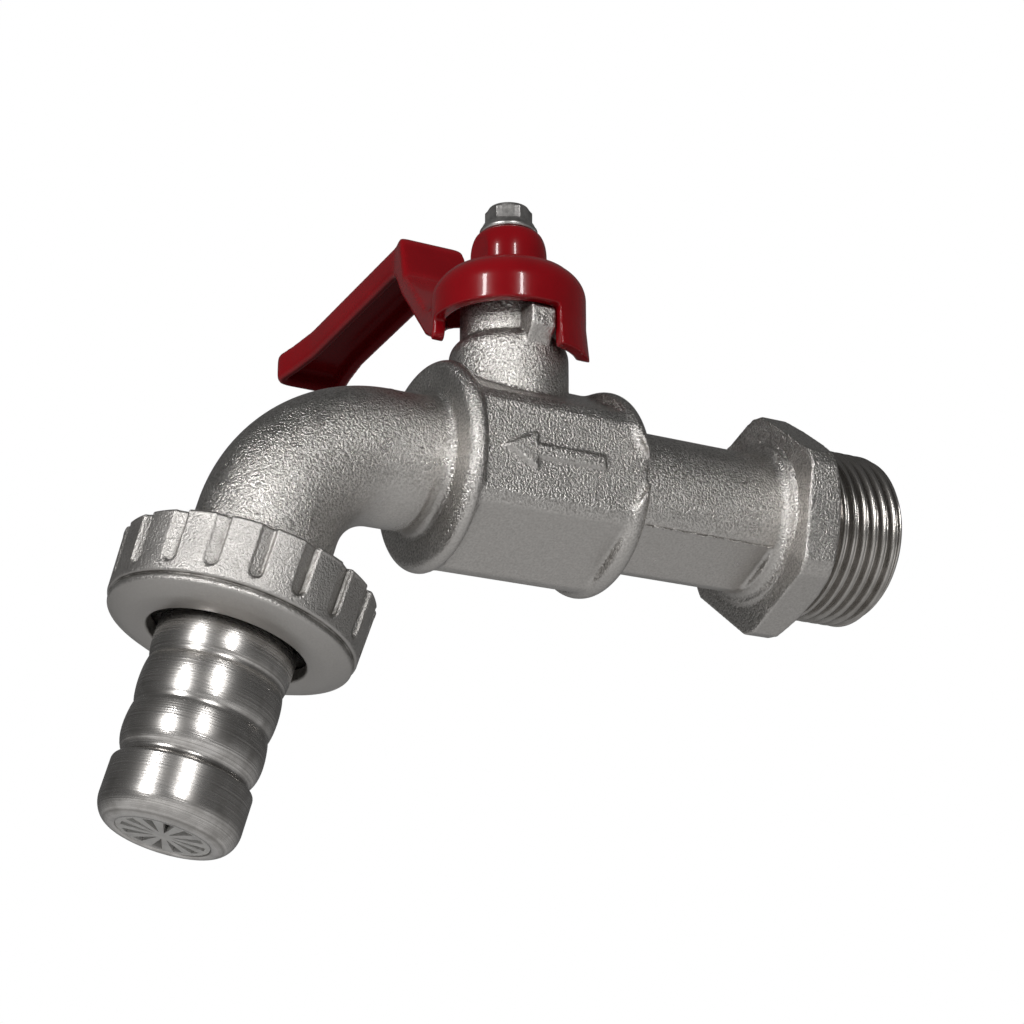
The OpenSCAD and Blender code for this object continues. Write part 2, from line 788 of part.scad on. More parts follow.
// Hexagon screw with a flange, which clamps the lever to the stem
module lever_screw() {
    color("slategray")
        from_ball()
            translate([0, 0, hub_top]) {
                translate([0, 0, -screw_length])
                    cylinder(h = screw_length, r = screw_r);
                rotate_extrude()
                    polygon([[0, 0], [screw_flange_r, 0], [screw_flange_r, 0.8],
                        [screw_across_flats / 2 + 0.3, screw_flange_height], [0, screw_flange_height]]);
                intersection() {
                    cylinder(h = screw_flange_height + screw_head_height, r = screw_across_flats / sqrt(3), $fn = 6);
                    rotate_extrude()
                        polygon([[0, 0], [screw_across_flats, 0],
                            [screw_across_flats / sqrt(3), screw_flange_height + screw_head_height - 0.6],
                            [screw_across_flats / 2 - 0.2, screw_flange_height + screw_head_height],
                            [0, screw_flange_height + screw_head_height]]);
                }
            }
}

// Union nut with grip slots that are open at its upper edge
module union_nut() {
    slot_end = nut_start + grip_slot_length - grip_slot_width / 2;
    color("silver")
        from_ball()
            along_outlet()
                difference() {
                    rotate_extrude()
                        polygon(concat(
                            [[nut_bore_r, nut_start], [nut_r - 0.5, nut_start], [nut_r, nut_start + 0.5],
                                [nut_grip_r, nut_start + nut_grip_height - 0.4],
                                [nut_lip_r - 0.2, nut_start + nut_grip_height]],
                            arc(nut_lip_r - 1.3, nut_end - 1.3, 1.3, 1.3, 20, 90, 8),
                            [[nut_hole_r + 0.3, nut_end], [nut_hole_r, nut_end - 0.3],
                                [nut_hole_r, floor_s], [nut_bore_r, floor_s]]));
                    for (i = [0:slot_count - 1])
                        rotate([0, 0, (i + 0.7) * 360 / slot_count]) {
                            translate([nut_grip_r - grip_slot_depth + 0.2, -grip_slot_width / 2, nut_start - e])
                                cube([nut_r, grip_slot_width, slot_end - nut_start + e]);
                            translate([nut_grip_r - grip_slot_depth + 0.2, 0, slot_end])
                                rotate([0, 90, 0])
                                    cylinder(h = nut_r, r = grip_slot_width / 2, $fn = 24);
                        }
                }
}

// One swelling of the tail between two grooves, as points from groove to groove
function swelling(from, to, groove_from, groove_to) =
    [for (i = [0:8]) let (u = i / 8, base = groove_from + (groove_to - groove_from) * u)
        [base + (tail_crest_r - base) * sin(180 * u), from + (to - from) * u]];

// Hose tail: a flange that the nut holds, three swellings and a last barb
module hose_tail() {
    color("lightgray")
        from_ball()
            along_outlet()
                difference() {
                    rotate_extrude()
                        polygon(concat(
                            [[0, flange_s], [tail_flange_r - 0.2, flange_s], [tail_flange_r, flange_s + 0.2],
                                [tail_flange_r, flange_s + tail_flange_height - 0.2],
                                [tail_flange_r - 0.2, flange_s + tail_flange_height],
                                [shank_r, flange_s + tail_flange_height]],
                            swelling(flange_s + tail_flange_height, groove_one, shank_r, tail_groove_r),
                            swelling(groove_one, groove_two, tail_groove_r, tail_groove_r),
                            swelling(groove_two, groove_three, tail_groove_r, tail_deep_groove_r),
                            [[tail_deep_groove_r, groove_three + 0.8], [tail_crest_r - 0.3, groove_three + 1.2],
                                [tail_crest_r, groove_three + 1.5], [tail_crest_r, groove_three + 3.7],
                                [tail_crest_r - 0.65, tail_end - 2.6]],
                            arc(tail_crest_r - 2.65, tail_end - 2, 2, 2, 0, 90, 8),
                            [[0, tail_end]]));
                    cylinder(h = tail_end + e, r = tail_bore_r);
                    translate([0, 0, tail_end - tail_mouth_depth])
                        cylinder(h = tail_mouth_depth + e, r = tail_mouth_r - 0.4);
                }
}

module tail_gasket() {
    color("black")
        from_ball()
            along_outlet(gasket_s)
                difference() {
                    cylinder(h = gasket_height, r = tail_flange_r);
                    translate([0, 0, -e])
                        cylinder(h = gasket_height + 2 * e, r = waterway_r + 0.6);
                }
}

// Star-shaped insert in the tail's mouth: vanes that widen from the middle to the rim
module jet_straightener() {
    rim_r = tail_mouth_r - 0.4 - 0.05;
    color("lightgray")
        from_ball()
            along_outlet(tail_end - tail_mouth_depth)
                union() {
                    difference() {
                        cylinder(h = tail_mouth_depth - 0.2, r = rim_r);
                        translate([0, 0, -e])
                            cylinder(h = tail_mouth_depth + 2 * e, r = rim_r - vane_rim);
                    }
                    linear_extrude(tail_mouth_depth - 0.2) {
                        circle(vane_hub_r);
                        for (i = [0:vane_count - 1])
                            rotate(i * 360 / vane_count)
                                polygon([[0, -0.2], [rim_r - vane_rim / 2, -vane_width / 2],
                                    [rim_r - vane_rim / 2, vane_width / 2], [0, 0.2]]);
                    }
                }
}

body();
inlet_connector();
connector_o_ring();
ball();
seat_inlet();
seat_outlet();
stem();
stem_thrust_washer();
stem_o_ring_lower();
stem_o_ring_upper();
lever();
lever_screw();
union_nut();
hose_tail();
tail_gasket();
jet_straightener();
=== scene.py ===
import json
import math

import bmesh
import bpy
import numpy as np
from mathutils import Matrix, Vector


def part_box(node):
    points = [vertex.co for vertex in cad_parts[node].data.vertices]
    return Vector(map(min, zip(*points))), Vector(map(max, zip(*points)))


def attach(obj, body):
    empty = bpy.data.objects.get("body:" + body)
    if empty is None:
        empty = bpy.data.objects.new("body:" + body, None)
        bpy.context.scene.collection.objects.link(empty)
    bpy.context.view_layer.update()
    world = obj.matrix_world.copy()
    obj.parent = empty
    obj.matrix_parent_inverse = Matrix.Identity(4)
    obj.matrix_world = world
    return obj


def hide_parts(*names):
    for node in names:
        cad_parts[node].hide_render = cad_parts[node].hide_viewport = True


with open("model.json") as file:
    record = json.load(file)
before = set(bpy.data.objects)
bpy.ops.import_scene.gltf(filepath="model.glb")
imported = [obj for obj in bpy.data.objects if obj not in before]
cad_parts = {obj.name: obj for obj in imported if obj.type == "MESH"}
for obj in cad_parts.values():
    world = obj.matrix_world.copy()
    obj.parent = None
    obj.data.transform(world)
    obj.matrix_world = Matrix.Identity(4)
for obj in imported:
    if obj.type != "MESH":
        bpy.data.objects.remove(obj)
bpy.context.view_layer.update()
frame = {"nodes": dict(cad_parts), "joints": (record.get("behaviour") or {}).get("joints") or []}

# Ball outlet tap: forged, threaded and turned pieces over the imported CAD, lit as photographed
MM = 0.001

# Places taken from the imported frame: the ball's centre and the outlet's axis
BALL = sum(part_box("ball"), Vector()) / 2
UNION = next(j for j in frame["joints"] if j["name"] == "nut_turn")
OUTLET_AXIS = Vector(UNION["axis"]).normalized()
OUTLET_POINT = Vector(UNION["pos_m"])

# Camera of the photograph, fitted to it; its place is measured from the ball's centre
LENS_MM = 87.89
SENSOR_MM = 36
CAMERA_PLACE = Vector((-0.165878, -0.294075, -0.114212))
PHOTO_RIGHT = Vector((0.8703, -0.4926, 0))
PHOTO_FORWARD = Vector((0.4685, 0.8277, 0.3088))

# Threads of the inlet and the outlet (G 3/4)
THREAD_R = 13.2 * MM
THREAD_DEPTH = 1.12 * MM
THREAD_PITCH = 1.814 * MM
THREAD_CHAMFER = 1.2 * MM
INLET_THREAD_LENGTH = 13.4 * MM
OUTLET_THREAD_LENGTH = 7.4 * MM
WATERWAY_R = 6.5 * MM
# Share of the wave that is cut flat at crests and at roots, and slope at which the thread sets in
THREAD_FLAT = 0.12
THREAD_RISE = 1.2

# Forged body, measured from the ball's centre or along the outlet from the spout's corner
FORGED_VOXEL = 0.24 * MM
FORGED_ROUNDS = 3
TRUE_REACH = 0.14 * MM
SPOUT_R = 9.72 * MM
SPOUT_CORNER = 33.5 * MM
SPOUT_START = 16.2 * MM
BEND_R = 17 * MM
BEND_REACH = 0.2 * MM
OUTLET_TILT = math.atan2(-OUTLET_AXIS.x, -OUTLET_AXIS.z)
BEND_SET = BEND_R * math.tan((math.pi / 2 - OUTLET_TILT) / 2)
CORNER = BALL + Vector((-SPOUT_CORNER, 0, 0))
OUTLET_END = 26 * MM
# The tower's round parts: radius, lowest and highest height
TOWER_BANDS = ((8.7 * MM, 14.5 * MM, 17.6 * MM), (7.1 * MM, 20 * MM, 28 * MM))
# The ring at the chamber's inlet end, softened between these places along the inlet, where the
# softening fades in and out, and below a height
CHAMBER_END = (10.5 * MM, 15.4 * MM)
CHAMBER_FADE = (1.5 * MM, 0.3 * MM)
CHAMBER_TOP = 17 * MM
CHAMBER_END_ROUNDS = 30

# Inlet pipe and the ridge of flash along it
PIPE_R = 10.5 * MM
PIPE_START = 15.5 * MM
PIPE_END = -8.5 * MM
FLASH_START = 15 * MM
FLASH_END = -8 * MM
FLASH_TURN = 36
FLASH_ROWS = 60
FLASH_HEIGHT = 0.2 * MM
FLASH_ROOT = -0.3 * MM

# Lever, with heights from the ball's centre
LEVER_VOXEL = 0.2 * MM
LEVER_ROUNDS = 12
ARM_ROUNDS = 110
ARM_START = 5 * MM
ARM_FADE = 4 * MM
CHANNEL_START = 14 * MM
CHANNEL_FADE = 2 * MM
SKIRT_R = 11.3 * MM
DOME_SPRING = 27.4 * MM
DOME_TOP = 32.0 * MM
DOME_FLAT_R = 5.8 * MM
DOME_REACH = 0.16 * MM
HUB_R = 5.6 * MM
HUB_FLAT = 4.9 * MM
HUB_INNER_R = 4.0 * MM
HUB_TOP = 38 * MM
HUB_DIMPLE_R = 2.2 * MM
HUB_DIMPLE = 0.4 * MM
# The casting's own hub lies within this radius, and draws in by this share
CASTING_HUB_R = 7 * MM
CASTING_HUB_DRAW = 0.2
# The skirt and dome are trued in front of this distance and between these heights
SKIRT_BACK = 4 * MM
SKIRT_BAND = (24 * MM, DOME_TOP - 0.7 * MM)

# Lever screw
SCREW_HEAD = 4.3 * MM
SCREW_SHANK = 8 * MM
SCREW_HALF_FLATS = 6.1 * MM / 2

# Union nut
NUT_SLOTS = 18
GRIP_R = 17.1 * MM
GRIP_LENGTH = 8.3 * MM
NUT_FLOOR = 1.95 * MM
NUT_HOLE_R = 10.9 * MM
FLUTE_WIDTH = 2.1 * MM
FLUTE_DEPTH = 0.85 * MM
FLUTE_LENGTH = 7.4 * MM
FLUTE_PHASE = 0.2
FLUTE_STEPS = 36
# How steeply a flute's walls drop, and how much shallower it is at one side
FLUTE_WALL = 4
FLUTE_LEAN = 0.8

# Hose tail
FLANGE_R = 11.95 * MM
FLANGE_HEIGHT = 1.6 * MM
CREST_R = 9.45 * MM
GROOVE_R = 8.95 * MM
DEEP_GROOVE_R = 8.4 * MM
GROOVE_PITCH = 6.5 * MM
NOSE_LENGTH = 3.3 * MM
NOSE_DROP = 2.65 * MM
TAIL_BORE_R = 6 * MM
MOUTH_R = 6.3 * MM
MOUTH_DEPTH = 2.6 * MM
# Below one, a swelling is full and its grooves are narrow
SWELLING_POWER = 0.55

# Studio: the background's strength as a light and in reflections, and the floor, which glows
# for the camera more and more between two distances in metres
AMBIENT = 0.2
REFLECTED_BELOW = 0.36
REFLECTED_ABOVE = 0.1
FLOOR_HALF = 0.8
FLOOR_DROP = 0.2
FLOOR_FADE = (0.25, 0.6)
FLOOR_GLOW = (0.75, 1.0)

# Colours of the painted shade in hollows, of the painted shade on the coating inside the arm's
# channel, and of the coating outside
HOLLOW_SHADE = (0.09, 0.083, 0.072, 1)
CHANNEL_SHADE_RED = (0.065, 0.0014, 0.0024, 1)
DARK_RED = (0.17, 0.0015, 0.004)
LIGHT_RED = (0.21, 0.002, 0.005)

# Materials of the CAD nodes that no piece replaces:
# dark and light colour, roughness, metallic, and the nodes
PLAIN_LOOKS = {
    "nitrile": ((0.012, 0.012, 0.012), (0.03, 0.03, 0.03), 0.5, 0.0,
                ("connector_o_ring", "stem_o_ring_lower", "stem_o_ring_upper")),
    "flat_rubber": ((0.02, 0.02, 0.02), (0.05, 0.05, 0.048), 0.65, 0.0, ("tail_gasket",)),
    "seat_plastic": ((0.8, 0.8, 0.78), (0.9, 0.9, 0.88), 0.4, 0.0,
                     ("seat_inlet", "seat_outlet", "stem_thrust_washer")),
    "straightener_plastic": ((0.36, 0.35, 0.335), (0.48, 0.47, 0.45), 0.45, 0.0,
                             ("jet_straightener",)),
    "chromed_ball": ((0.72, 0.72, 0.72), (0.78, 0.78, 0.78), 0.1, 1.0, ("ball",)),
    "turned_brass": ((0.55, 0.45, 0.25), (0.62, 0.52, 0.3), 0.3, 1.0, ("stem",)),
}


def make_camera():
    data = bpy.data.cameras.new("photo_camera")
    data.lens = LENS_MM
    data.sensor_width = SENSOR_MM
    data.clip_start = 0.01
    data.clip_end = 10
    camera = bpy.data.objects.new("photo_camera", data)
    bpy.context.scene.collection.objects.link(camera)
    right = PHOTO_RIGHT.normalized()
    forward = PHOTO_FORWARD.normalized()
    up = right.cross(forward)
    right = forward.cross(up)
    turn = Matrix((right, up, -forward)).transposed()
    camera.matrix_world = Matrix.Translation(BALL + CAMERA_PLACE) @ turn.to_4x4()
    bpy.context.scene.camera = camera


# A material with its nodes, its links and its shader
def new_material(name):
    material = bpy.data.materials.new(name)
    material.use_nodes = True
    nodes = material.node_tree.nodes
    return material, nodes, material.node_tree.links, nodes["Principled BSDF"]


# Puts a value, or what another node gives, into an input
def feed(links, value, socket):
    if isinstance(value, bpy.types.NodeSocket):
        links.new(value, socket)
    else:
        socket.default_value = value


def object_coords(nodes):
    return nodes.new("ShaderNodeTexCoord").outputs["Object"]


# Noise with spots about as large as grain
def noise(nodes, links, coords, grain, detail=3.0, roughness=0.55):
    node = nodes.new("ShaderNodeTexNoise")
    node.inputs["Scale"].default_value = 1 / grain
    node.inputs["Detail"].default_value = detail
    node.inputs["Roughness"].default_value = roughness
    links.new(coords, node.inputs["Vector"])
    return node.outputs["Fac"]


def ramp(nodes, links, value, low, high, to_low, to_high):
    node = nodes.new("ShaderNodeMapRange")
    node.inputs["From Min"].default_value = low
    node.inputs["From Max"].default_value = high
    node.inputs["To Min"].default_value = to_low
    node.inputs["To Max"].default_value = to_high
    links.new(value, node.inputs["Value"])
    return node.outputs["Result"]


# Spreads noise, which mostly lies between 0.3 and 0.7, over a range of its own
def stretch(nodes, links, value, to_low, to_high):
    return ramp(nodes, links, value, 0.3, 0.7, to_low, to_high)


def combine(nodes, links, operation, a, b):
    node = nodes.new("ShaderNodeMath")
    node.operation = operation
    links.new(a, node.inputs[0])
    links.new(b, node.inputs[1])
    return node.outputs["Value"]


def split_xyz(nodes, links, vector):
    node = nodes.new("ShaderNodeSeparateXYZ")
    links.new(vector, node.inputs["Vector"])
    return node.outputs


# Blends two levels or colours, each a value or a socket
def mix(nodes, links, kind, factor, first, second):
    node = nodes.new("ShaderNodeMix")
    node.data_type = kind
    links.new(factor, node.inputs["Factor"])
    feed(links, first, node.inputs["A"])
    feed(links, second, node.inputs["B"])
    return node.outputs["Result"]


# A colour that goes from dark to light as a value goes from low to high
def mottle(nodes, links, value, dark, light, low=0.3, high=0.7):
    share = ramp(nodes, links, value, low, high, 0, 1)
    return mix(nodes, links, "RGBA", share, (*dark, 1), (*light, 1))


def bump(nodes, links, height, strength, distance, below=None):
    node = nodes.new("ShaderNodeBump")
    node.inputs["Distance"].default_value = distance
    feed(links, strength, node.inputs["Strength"])
    links.new(height, node.inputs["Height"])
    if below is not None:
        links.new(below, node.inputs["Normal"])
    return node.outputs["Normal"]


# How strongly painted shade darkens hollows and inner corners, in noisy patches, from zero to one
def hollow_shade_mask(nodes, links, patches):
    hollow = nodes.new("ShaderNodeAmbientOcclusion")
    hollow.only_local = True
    hollow.samples = 8
    hollow.inputs["Distance"].default_value = 2.5 * MM
    depth = ramp(nodes, links, hollow.outputs["AO"], 0.9, 0.55, 0.0, 1.0)
    patch_strength = ramp(nodes, links, patches, 0.35, 0.6, 0.25, 1.0)
    return combine(nodes, links, "MULTIPLY", depth, patch_strength)


# Blasted and plated forging: sparkling grain, of which smooth_share is left on what faces down
def forging_material(name, dark, light, roughness, grain_mm, grain, smooth_share):
    material, nodes, links, shader = new_material(name)
    coords = object_coords(nodes)
    fine = noise(nodes, links, coords, grain_mm * MM, detail=2.5, roughness=0.6)
    broad = noise(nodes, links, coords, 3.5 * MM)
    normal = nodes.new("ShaderNodeNewGeometry").outputs["Normal"]
    facing = ramp(nodes, links, split_xyz(nodes, links, normal)["Z"], -0.75, -0.35, smooth_share, 1.0)
    spread = combine(nodes, links, "MULTIPLY", facing, stretch(nodes, links, fine, -0.5, 0.5))
    plating = mottle(nodes, links, spread, dark, light, -0.5, 0.5)
    # Painted shade: the plating turns dark in hollows and inner corners
    links.new(mix(nodes, links, "RGBA", hollow_shade_mask(nodes, links, broad), plating, HOLLOW_SHADE),
              shader.inputs["Base Color"])
    links.new(stretch(nodes, links, broad, roughness - 0.02, roughness + 0.04),
              shader.inputs["Roughness"])
    shader.inputs["Metallic"].default_value = 1.0
    strength = combine(nodes, links, "MULTIPLY", facing,
                       stretch(nodes, links, broad, grain * 0.75, grain))
    waves = bump(nodes, links, broad, 0.12, 0.3 * MM)
    links.new(bump(nodes, links, fine, strength, grain_mm * MM * 0.8, waves), shader.inputs["Normal"])
    return material


# Turned metal: fine rings round an axis, under broader clouds
def turned_material(name, dark, light, roughness, origin, axis, ring_mm, depth):
    material, nodes, links, shader = new_material(name)
    coords = object_coords(nodes)
    shift = nodes.new("ShaderNodeVectorMath")
    shift.operation = "SUBTRACT"
    links.new(coords, shift.inputs[0])
    shift.inputs[1].default_value = origin
    along = nodes.new("ShaderNodeVectorMath")
    along.operation = "DOT_PRODUCT"
    links.new(shift.outputs["Vector"], along.inputs[0])
    along.inputs[1].default_value = axis
    rings = nodes.new("ShaderNodeTexNoise")
    rings.noise_dimensions = "1D"
    rings.inputs["Scale"].default_value = 1 / (ring_mm * MM)
    rings.inputs["Detail"].default_value = 3.0
    links.new(along.outputs["Value"], rings.inputs["W"])
    cloud = noise(nodes, links, coords, 2.8 * MM, detail=4.0)
    tone = combine(nodes, links, "MULTIPLY", cloud, rings.outputs["Fac"])
    links.new(mottle(nodes, links, tone, dark, light, 0.12, 0.38), shader.inputs["Base Color"])
    links.new(ramp(nodes, links, tone, 0.12, 0.38, roughness + 0.06, roughness - 0.04),
              shader.inputs["Roughness"])
    shader.inputs["Metallic"].default_value = 1.0
    links.new(bump(nodes, links, rings.outputs["Fac"], depth, ring_mm * MM * 0.5),
              shader.inputs["Normal"])
    return material


# Where the coating takes painted shade: one in the arm's channel, whose walls face the middle and
# whose roof faces down, and zero outside
def channel_shade_mask(nodes, links, coords):
    place = split_xyz(nodes, links, coords)
    normal = split_xyz(nodes, links, nodes.new("ShaderNodeNewGeometry").outputs["Normal"])
    sideways = ramp(nodes, links, place["X"], BALL.x - MM, BALL.x + MM, -1.0, 1.0)
    outward = combine(nodes, links, "MULTIPLY", sideways, normal["X"])
    mask = ramp(nodes, links, outward, 0.1, 0.5, 1.0, 0.0)
    start = BALL.y + CHANNEL_START
    for value, low, high, to_low, to_high in ((normal["Z"], 0.1, 0.4, 1.0, 0.0),
                                              (normal["Y"], 0.3, 0.6, 1.0, 0.0),
                                              (place["Y"], start, start + CHANNEL_FADE, 0.0, 1.0)):
        mask = combine(nodes, links, "MULTIPLY", mask,
                       ramp(nodes, links, value, low, high, to_low, to_high))
    return mask


# Glossy coating with a little orange peel; in the arm's channel, painted shade makes it a darker red
# with little specular and coat
def paint_material(name):
    material, nodes, links, shader = new_material(name)
    coords = object_coords(nodes)
    channel = channel_shade_mask(nodes, links, coords)
    cloud = noise(nodes, links, coords, 9 * MM)
    peel = noise(nodes, links, coords, 1.3 * MM, detail=2.0)
    red = mottle(nodes, links, cloud, DARK_RED, LIGHT_RED)
    # Painted shade: the inside of the arm's channel takes a darker red
    links.new(mix(nodes, links, "RGBA", channel, red, CHANNEL_SHADE_RED), shader.inputs["Base Color"])
    links.new(stretch(nodes, links, cloud, 0.2, 0.28), shader.inputs["Roughness"])
    links.new(ramp(nodes, links, channel, 0, 1, 0.15, 0.02), shader.inputs["Specular IOR Level"])
    links.new(ramp(nodes, links, channel, 0, 1, 0.3, 0.02), shader.inputs["Coat Weight"])
    shader.inputs["Coat Roughness"].default_value = 0.05
    links.new(bump(nodes, links, peel, 0.08, 0.15 * MM), shader.inputs["Normal"])
    return material


# Rubber, plastic or plain metal with a faint mottle
def moulded_material(name, dark, light, roughness, metallic=0.0):
    material, nodes, links, shader = new_material(name)
    coords = object_coords(nodes)
    cloud = noise(nodes, links, coords, 1.6 * MM, detail=4.0)
    fine = noise(nodes, links, coords, 0.3 * MM, detail=2.0)
    links.new(mottle(nodes, links, cloud, dark, light), shader.inputs["Base Color"])
    links.new(stretch(nodes, links, fine, roughness - 0.05, roughness + 0.05),
              shader.inputs["Roughness"])
    shader.inputs["Metallic"].default_value = metallic
    links.new(bump(nodes, links, fine, 0.12, 0.05 * MM), shader.inputs["Normal"])
    return material


# Gives a piece its material and its body, and hides the replaced nodes in the frame
def finish_piece(obj, body, slot, material, *nodes):
    obj.data.materials.clear()
    obj.data.materials.append(material)
    for polygon in obj.data.polygons:
        polygon.use_smooth = True
        polygon.material_index = 0
    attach(obj, body)
    if nodes:
        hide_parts(*nodes)
    return obj


def object_from(name, points, faces):
    mesh = bpy.data.meshes.new(name)
    mesh.from_pydata([tuple(p) for p in points], [], faces)
    mesh.validate()
    obj = bpy.data.objects.new(name, mesh)
    bpy.context.scene.collection.objects.link(obj)
    clean_mesh(obj)
    return obj


def clean_mesh(obj, distance=1e-7):
    work = bmesh.new()
    work.from_mesh(obj.data)
    bmesh.ops.remove_doubles(work, verts=work.verts, dist=distance)
    bmesh.ops.dissolve_degenerate(work, edges=work.edges, dist=distance)
    bmesh.ops.recalc_face_normals(work, faces=work.faces)
    work.to_mesh(obj.data)
    work.free()


def apply_modifiers(obj):
    graph = bpy.context.evaluated_depsgraph_get()
    mesh = bpy.data.meshes.new_from_object(obj.evaluated_get(graph))
    obj.modifiers.clear()
    obj.data = mesh


# How far a CAD node reaches along a line, from its first point to its last
def span(node, origin, axis):
    obj = frame["nodes"][node]
    reach = [(obj.matrix_world @ v.co - origin).dot(axis) for v in obj.data.vertices]
    return min(reach), max(reach)


# Two directions that stand square to an axis and to each other
def square_to(axis):
    side = axis.cross(Vector((0, 1, 0))).normalized()
    return side, axis.cross(side)


# A turned piece: profile is a closed loop of (distance along the axis, radius), and shape may
# change a radius at a place round the axis
def lathe(name, profile, origin, axis, segments, shape=None):
    axis = Vector(axis).normalized()
    side, other = square_to(axis)
    points = []
    for i in range(segments):
        turn = 2 * math.pi * i / segments
        out = side * math.cos(turn) + other * math.sin(turn)
        for s, r in profile:
            if shape:
                r = shape(s, r, turn)
            points.append(Vector(origin) + axis * s + out * r)
    n = len(profile)
    faces = []
    for i in range(segments):
        j = (i + 1) % segments
        for k in range(n):
            m = (k + 1) % n
            faces.append((i * n + k, i * n + m, j * n + m, j * n + k))
    return object_from(name, points, faces)


# Points on an oval arc: x along the axis, y outwards, angles in degrees
def arc(x, y, rx, ry, start, stop, steps):
    angles = [math.radians(start + (stop - start) * i / steps) for i in range(steps + 1)]
    return [(x + rx * math.cos(a), y + ry * math.sin(a)) for a in angles]


# A cast or forged copy of a CAD node: remeshed, trued to its round surfaces, rounded at its
# edges, softened where soft says, and cut off at the plane that keep gives
def cast_copy(name, node, voxel, rounds, true_up, soft=None, keep=None):
    obj = frame["nodes"][node].copy()
    obj.data = obj.data.copy()
    obj.name = name
    obj.parent = None
    for key in [k for k in obj.keys() if k.startswith("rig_")]:
        del obj[key]
    bpy.context.scene.collection.objects.link(obj)
    obj.hide_render = False
    obj.hide_viewport = False
    remesh = obj.modifiers.new("remesh", "REMESH")
    remesh.mode = "VOXEL"
    remesh.voxel_size = voxel
    remesh.adaptivity = 0
    apply_modifiers(obj)
    points = np.array([v.co for v in obj.data.vertices])
    obj.data.vertices.foreach_set("co", true_up(points).astype(np.float32).ravel())
    smooth = obj.modifiers.new("smooth", "SMOOTH")
    smooth.factor = 0.5
    smooth.iterations = rounds
    apply_modifiers(obj)
    if soft:
        soften(obj, *soft)
    if keep:
        cut_plane(obj, *keep)
    return obj


# Smooths a piece further where weight_at, which takes its points, is above zero
def soften(obj, weight_at, rounds):
    points = np.array([v.co for v in obj.data.vertices])
    group = obj.vertex_groups.new(name="soft")
    for i, weight in enumerate(weight_at(points)):
        if weight > 0:
            group.add([i], float(weight), "REPLACE")
    smooth = obj.modifiers.new("soften", "SMOOTH")
    smooth.factor = 0.5
    smooth.iterations = rounds
    smooth.vertex_group = "soft"
    apply_modifiers(obj)


# Keeps the side of a plane that its normal points away from, and closes the cut
def cut_plane(obj, point, normal):
    work = bmesh.new()
    work.from_mesh(obj.data)
    bmesh.ops.bisect_plane(work, geom=work.verts[:] + work.edges[:] + work.faces[:], dist=1e-7,
                           plane_co=point, plane_no=normal, clear_outer=True)
    rim = [edge for edge in work.edges if edge.is_boundary]
    bmesh.ops.triangle_fill(work, edges=rim, use_beauty=True)
    work.to_mesh(obj.data)
    work.free()


# Moves points that lie within reach of a round surface onto it
def snap_round(points, origin, axis, radius_at, reach):
    axis = np.array(axis, float)
    offset = points - np.array(origin, float)
    along = offset @ axis
    out = offset - np.outer(along, axis)
    distance = np.linalg.norm(out, axis=1)
    target = radius_at(along)
    near = np.abs(distance - target) < reach
    near &= distance > 1e-6
    scale = np.where(near, target / np.maximum(distance, 1e-6), 1.0)
    return np.array(origin, float) + np.outer(along, axis) + out * scale[:, None]


# The same for a cylinder, and only for the points that chosen picks
def snap_cylinder(points, chosen, origin, axis, radius):
    trued = snap_round(points, origin, axis, lambda s: np.full(len(s), radius), TRUE_REACH)
    return np.where(chosen[:, None], trued, points)


# Screw thread on a sleeve, which sets in past its relief and ends at a chamfer. Each column of
# points starts a little further along the helix.
def screw_thread(name, origin, axis, length, relief, segments=128, steps=12):
    axis = Vector(axis).normalized()
    side, other = square_to(axis)
    root = THREAD_R - THREAD_DEPTH
    rows = (int(length / THREAD_PITCH) + 2) * steps
    points = []
    for i in range(segments + 1):
        turn = 2 * math.pi * i / segments
        out = side * math.cos(turn) + other * math.sin(turn)
        ring = [(0.0, WATERWAY_R), (0.0, root)]
        for k in range(rows):
            s = min(max((k / steps + i / segments - 1) * THREAD_PITCH, 0.0), length)
            wave = 0.5 - THREAD_FLAT - 0.5 * math.cos(2 * math.pi * k / steps)
            wave /= 1 - 2 * THREAD_FLAT
            r = THREAD_R - THREAD_DEPTH * min(1.0, max(0.0, wave))
            r = max(min(r, root + max(0.0, s - relief) * THREAD_RISE), root)
            ring.append((s, min(r, THREAD_R - max(0.0, s - length + THREAD_CHAMFER))))
        ring += [(length, THREAD_R - THREAD_CHAMFER), (length, WATERWAY_R + 0.5 * MM),
                 (length - 0.5 * MM, WATERWAY_R)]
        points += [Vector(origin) + axis * s + out * r for s, r in ring]
    n = len(points) // (segments + 1)
    faces = []
    for i in range(segments):
        for k in range(n):
            m = (k + 1) % n
            faces.append((i * n + k, i * n + m, (i + 1) * n + m, (i + 1) * n + k))
    obj = object_from(name, points, faces)
    clean_mesh(obj, 1e-6)
    return obj


# Brings the spout's bend to its round section
def true_bend(points):
    centre = np.array(CORNER + Vector((BEND_SET, 0, -BEND_R)))
    offset = points - centre
    ring = offset * [1, 0, 1]
    ring_length = np.linalg.norm(ring, axis=1)
    middle = ring / np.maximum(ring_length, 1e-6)[:, None] * BEND_R
    out = offset - middle
    distance = np.linalg.norm(out, axis=1)
    inside = (offset[:, 0] < 0) & (offset @ np.array(OUTLET_AXIS) < 0)
    near = inside & (np.abs(distance - SPOUT_R) < BEND_REACH)
    scale = np.where(near, SPOUT_R / np.maximum(distance, 1e-6), 1.0)
    return centre + middle + out * scale[:, None]


